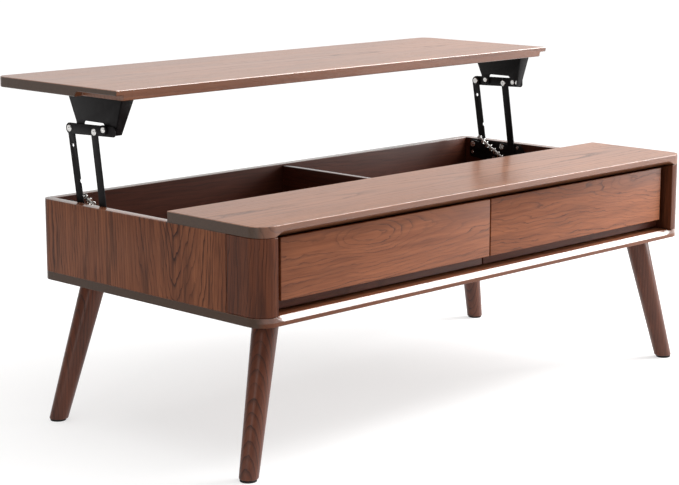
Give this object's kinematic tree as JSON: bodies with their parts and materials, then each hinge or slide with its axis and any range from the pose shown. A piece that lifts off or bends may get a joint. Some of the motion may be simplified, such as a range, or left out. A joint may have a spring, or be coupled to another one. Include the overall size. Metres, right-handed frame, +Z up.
{
  "type": "lift top coffee table",
  "caption": "Low rectangular table with splayed round legs, a pair of drawers in front and a rear top that lifts up and back on parallel arms over a storage well.",
  "frame": {"origin": "floor level, under the middle of the table's bounding box with the lift top raised", "axes": "+X along the length, -Y towards the drawers, +Z up"},
  "size_m": [1.2328, 0.729, 0.637],
  "materials": {
    "case_wood": "walnut-stained ash, semi-gloss lacquer",
    "top_wood": "walnut-stained ash, semi-gloss lacquer",
    "inner_wood": "dark red-brown stain, satin",
    "box_wood": "clear lacquered drawer-box wood",
    "black_steel": "black powder coat, satin",
    "nickel": "nickel plate",
    "glide": "dark glide pad"
  },
  "bodies": {
    "case": {"back_panel": "case_wood", "bottom_board": "case_wood", "corner_post_left": "case_wood", "corner_post_right": "case_wood", "drawer_bay_center_support": "inner_wood", "drawer_bay_wall": "inner_wood", "drawer_runner_left_inner": "inner_wood", "drawer_runner_left_outer": "inner_wood", "drawer_runner_right_inner": "inner_wood", "drawer_runner_right_outer": "inner_wood", "fixed_top_panel": "top_wood", "foot_glide_front_left": "glide", "foot_glide_front_right": "glide", "foot_glide_rear_left": "glide", "foot_glide_rear_right": "glide", "front_base_pin_left": "nickel", "front_base_pin_right": "nickel", "leg_bolt_front_left": "nickel", "leg_bolt_front_right": "nickel", "leg_bolt_rear_left": "nickel", "leg_bolt_rear_right": "nickel", "leg_front_left": "case_wood", "leg_front_right": "case_wood", "leg_rear_left": "case_wood", "leg_rear_right": "case_wood", "rear_base_pin_left": "nickel", "rear_base_pin_right": "nickel", "side_panel_left": "case_wood", "side_panel_right": "case_wood", "storage_divider": "inner_wood", "lift_base_plate_left": "black_steel", "lift_base_plate_right": "black_steel"},
    "spring_left": {"lift_spring_left": "nickel"},
    "spring_right": {"lift_spring_right": "nickel"},
    "lift_top": {"lift_top_panel": "top_wood", "lift_coupler_left": "black_steel", "lift_top_bracket_left": "black_steel", "rear_top_pin_left": "nickel", "front_top_pin_left": "nickel", "lift_coupler_right": "black_steel", "lift_top_bracket_right": "black_steel", "rear_top_pin_right": "nickel", "front_top_pin_right": "nickel"},
    "front_arm_left": {"lift_front_arm_left": "black_steel"},
    "rear_arm_left": {"lift_rear_arm_left": "black_steel"},
    "front_arm_right": {"lift_front_arm_right": "black_steel"},
    "rear_arm_right": {"lift_rear_arm_right": "black_steel"},
    "drawer_left": {"drawer_left_box_back": "box_wood", "drawer_left_box_floor": "box_wood", "drawer_left_box_front": "inner_wood", "drawer_left_box_inner_side": "box_wood", "drawer_left_box_outer_side": "box_wood", "drawer_left_front": "case_wood"},
    "drawer_right": {"drawer_right_box_back": "box_wood", "drawer_right_box_floor": "box_wood", "drawer_right_box_front": "inner_wood", "drawer_right_box_inner_side": "box_wood", "drawer_right_box_outer_side": "box_wood", "drawer_right_front": "case_wood"}
  },
  "joints": [
    {"name": "front_arm_left_hinge", "type": "hinge", "parent": "case", "child": "front_arm_left", "pos_m": [-0.573, 0.1055, 0.409], "axis": [1, 0, 0], "range_deg": [0, 109.53], "stiffness_Nm_per_rad": 3, "springref_deg": -17.19},
    {"name": "lift_top_hinge", "type": "hinge", "parent": "front_arm_left", "child": "lift_top", "pos_m": [-0.573, 0.1005, 0.55301], "axis": [1, 0, 0], "range_deg": [-110.03, 0.5]},
    {"name": "rear_arm_left_hinge", "type": "hinge", "parent": "case", "child": "rear_arm_left", "pos_m": [-0.573, 0.1835, 0.409], "axis": [1, 0, 0], "range_deg": [-0.5, 110.03]},
    {"name": "front_arm_right_hinge", "type": "hinge", "parent": "case", "child": "front_arm_right", "pos_m": [0.573, 0.1055, 0.409], "axis": [1, 0, 0], "range_deg": [-0.5, 110.03]},
    {"name": "rear_arm_right_hinge", "type": "hinge", "parent": "case", "child": "rear_arm_right", "pos_m": [0.573, 0.1835, 0.409], "axis": [1, 0, 0], "range_deg": [-0.5, 110.03]},
    {"name": "spring_left_eye", "type": "hinge", "parent": "case", "child": "spring_left", "pos_m": [-0.5573, -0.0045, 0.335], "axis": [1, 0, 0], "range_deg": [-18, 1], "deforming": ["lift_spring_left"]},
    {"name": "spring_right_eye", "type": "hinge", "parent": "case", "child": "spring_right", "pos_m": [0.5573, -0.0045, 0.335], "axis": [1, 0, 0], "range_deg": [-18, 1], "deforming": ["lift_spring_right"]},
    {"name": "drawer_left_slide", "type": "slide", "parent": "case", "child": "drawer_left", "axis": [0, -1, 0], "range_m": [0, 0.13]},
    {"name": "drawer_right_slide", "type": "slide", "parent": "case", "child": "drawer_right", "axis": [0, -1, 0], "range_m": [0, 0.13]}
  ],
  "couplings": [
    {"joint": "lift_top_hinge", "follows": "front_arm_left_hinge", "ratio": -1},
    {"joint": "rear_arm_left_hinge", "follows": "front_arm_left_hinge", "ratio": 1},
    {"joint": "front_arm_right_hinge", "follows": "front_arm_left_hinge", "ratio": 1},
    {"joint": "rear_arm_right_hinge", "follows": "front_arm_left_hinge", "ratio": 1},
    {"joint": "spring_left_eye", "follows": "front_arm_left_hinge", "ratio": -0.15296},
    {"joint": "spring_right_eye", "follows": "front_arm_left_hinge", "ratio": -0.15296}
  ]
}
